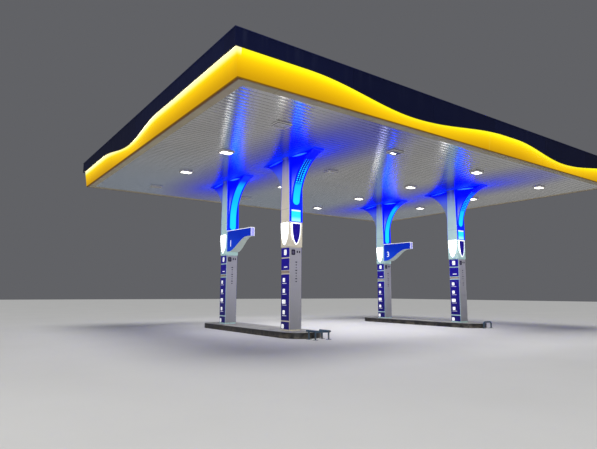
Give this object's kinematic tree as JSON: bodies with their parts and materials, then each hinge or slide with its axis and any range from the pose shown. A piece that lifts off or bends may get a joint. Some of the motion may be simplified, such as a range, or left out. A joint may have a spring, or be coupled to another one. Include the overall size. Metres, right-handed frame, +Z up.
{
  "type": "filling station canopy",
  "caption": "Flat canopy on clad columns with curved lit brackets, a wavy lit fascia, pump islands and pipe guards.",
  "frame": {"origin": "on the ground, under the middle of the canopy", "axes": "+X along the long sides, +Y along the drive-through lanes towards the back, +Z up; islands lie at low and high X"},
  "size_m": [18.33, 13.83, 6.95],
  "materials": {
    "navy_panel": "satin dark blue composite panel",
    "lit_yellow": "matt yellow panel lit from its top edge",
    "wave_light": "opal light strip",
    "border_white": "satin off-white sheet",
    "ceiling_white": "satin white linear panels",
    "lamp_frame": "satin light grey",
    "lamp_lens_on": "clear lens, lit",
    "lamp_lens_off": "clear lens, not lit",
    "capping_metal": "satin dark blue folded sheet",
    "roof_steel": "grey painted steel",
    "roof_sheet": "pale grey-blue coated sheet",
    "gutter_steel": "dull galvanised steel",
    "column_white": "satin white cladding",
    "bracket_blue": "satin blue cladding",
    "arc_light": "opal light strip, lit cyan",
    "cove_light": "slim light bar, lit blue",
    "glow_panel": "opal panel, lit",
    "shield_sign": "opal white light box",
    "side_navy": "satin printed panel in dark blue",
    "face_grey": "satin light grey panel",
    "flag_blue": "satin blue sign box",
    "island_concrete": "trowelled concrete",
    "kerb_steel": "dark painted steel edging",
    "guard_steel": "blue-grey painted pipe"
  },
  "bodies": {
    "root": {"soffit_border": "border_white", "ceiling": "ceiling_white", "downlight_frames": "lamp_frame", "downlight_lenses_on": "lamp_lens_on", "downlight_lenses_off": "lamp_lens_off", "light_band_front": "lit_yellow", "light_band_right": "lit_yellow", "light_band_back": "lit_yellow", "light_band_left": "lit_yellow", "fascia_front": "navy_panel", "fascia_right": "navy_panel", "fascia_back": "navy_panel", "fascia_left": "navy_panel", "wave_light_strips": "wave_light", "capping": "capping_metal", "edge_beams": "roof_steel", "cross_beams": "roof_steel", "main_girders": "roof_steel", "ceiling_rails": "roof_steel", "roof_sheet_front": "roof_sheet", "roof_sheet_back": "roof_sheet", "roof_gutter": "gutter_steel", "column_1": "column_white", "column_2": "column_white", "column_3": "column_white", "column_4": "column_white", "brackets_1": "bracket_blue", "brackets_2": "bracket_blue", "brackets_3": "bracket_blue", "brackets_4": "bracket_blue", "arc_lights_1": "arc_light", "arc_lights_2": "arc_light", "arc_lights_3": "arc_light", "arc_lights_4": "arc_light", "cove_lights": "cove_light", "glow_panels": "glow_panel", "shield_signs": "shield_sign", "side_panels": "side_navy", "face_panels": "face_grey", "flag_1": "flag_blue", "flag_3": "flag_blue", "island_left": "island_concrete", "island_right": "island_concrete", "island_kerbs": "kerb_steel", "guards": "guard_steel"}
  },
  "joints": []
}
